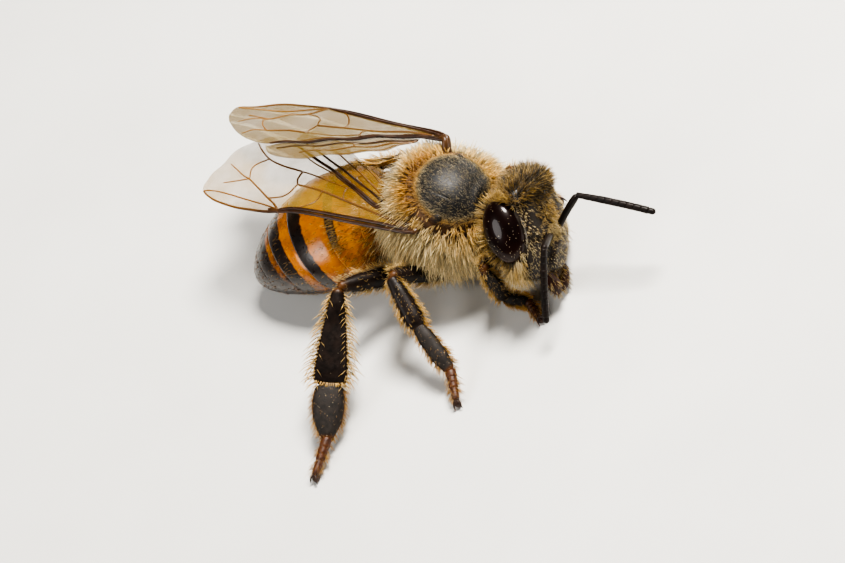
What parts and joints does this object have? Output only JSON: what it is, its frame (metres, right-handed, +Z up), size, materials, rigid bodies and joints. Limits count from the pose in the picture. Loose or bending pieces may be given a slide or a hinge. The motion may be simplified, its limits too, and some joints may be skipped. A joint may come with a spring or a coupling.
{
  "type": "honey bee",
  "caption": "Life-size still model of a worker honey bee standing on its feet, wings laid back over the abdomen, head rolled and turned down, with hairy thorax and banded amber abdomen.",
  "frame": {"origin": "on the floor under the middle of the model's bounding box", "axes": "+X the way the thorax faces, +Y the bee's left, +Z up from the floor"},
  "size_m": [0.0152, 0.0116, 0.0049],
  "materials": {
    "coat": "soft pale golden hair",
    "face": "short dark and cream hair over a dark shell",
    "plate": "matte charcoal, finely pitted",
    "shell": "dark brown, satin, with pale hair",
    "eye": "glossy dark maroon with fine facets",
    "jaw": "reddish brown, satin",
    "amber": "glossy amber with black bands",
    "dark_band": "dark brown with fine pale hair",
    "foot": "reddish brown, satin",
    "membrane": "clear amber membrane with brown veins"
  },
  "bodies": {
    "root": {"abdomen_1": "amber", "abdomen_2": "amber", "abdomen_3": "amber", "abdomen_4": "amber", "abdomen_5": "dark_band", "abdomen_6": "dark_band", "eye_left": "eye", "eye_right": "eye", "flagellum_left": "shell", "flagellum_right": "shell", "forewing_left": "membrane", "forewing_right": "membrane", "front_left_basitarsus": "shell", "front_left_coxa": "shell", "front_left_femur": "shell", "front_left_tarsus": "foot", "front_left_tibia": "shell", "front_right_basitarsus": "shell", "front_right_coxa": "shell", "front_right_femur": "shell", "front_right_tarsus": "foot", "front_right_tibia": "shell", "head": "face", "hind_left_basitarsus": "shell", "hind_left_coxa": "shell", "hind_left_femur": "shell", "hind_left_tarsus": "foot", "hind_left_tibia": "shell", "hind_right_basitarsus": "shell", "hind_right_coxa": "shell", "hind_right_femur": "shell", "hind_right_tarsus": "foot", "hind_right_tibia": "shell", "hindwing_left": "membrane", "hindwing_right": "membrane", "mandible_left": "jaw", "mandible_right": "jaw", "mid_left_basitarsus": "shell", "mid_left_coxa": "shell", "mid_left_femur": "shell", "mid_left_tarsus": "foot", "mid_left_tibia": "shell", "mid_right_basitarsus": "shell", "mid_right_coxa": "shell", "mid_right_femur": "shell", "mid_right_tarsus": "foot", "mid_right_tibia": "shell", "neck": "coat", "petiole": "shell", "scape_left": "shell", "scape_right": "shell", "scutum": "plate", "tegula_left": "shell", "tegula_right": "shell", "thorax": "coat"}
  },
  "joints": []
}
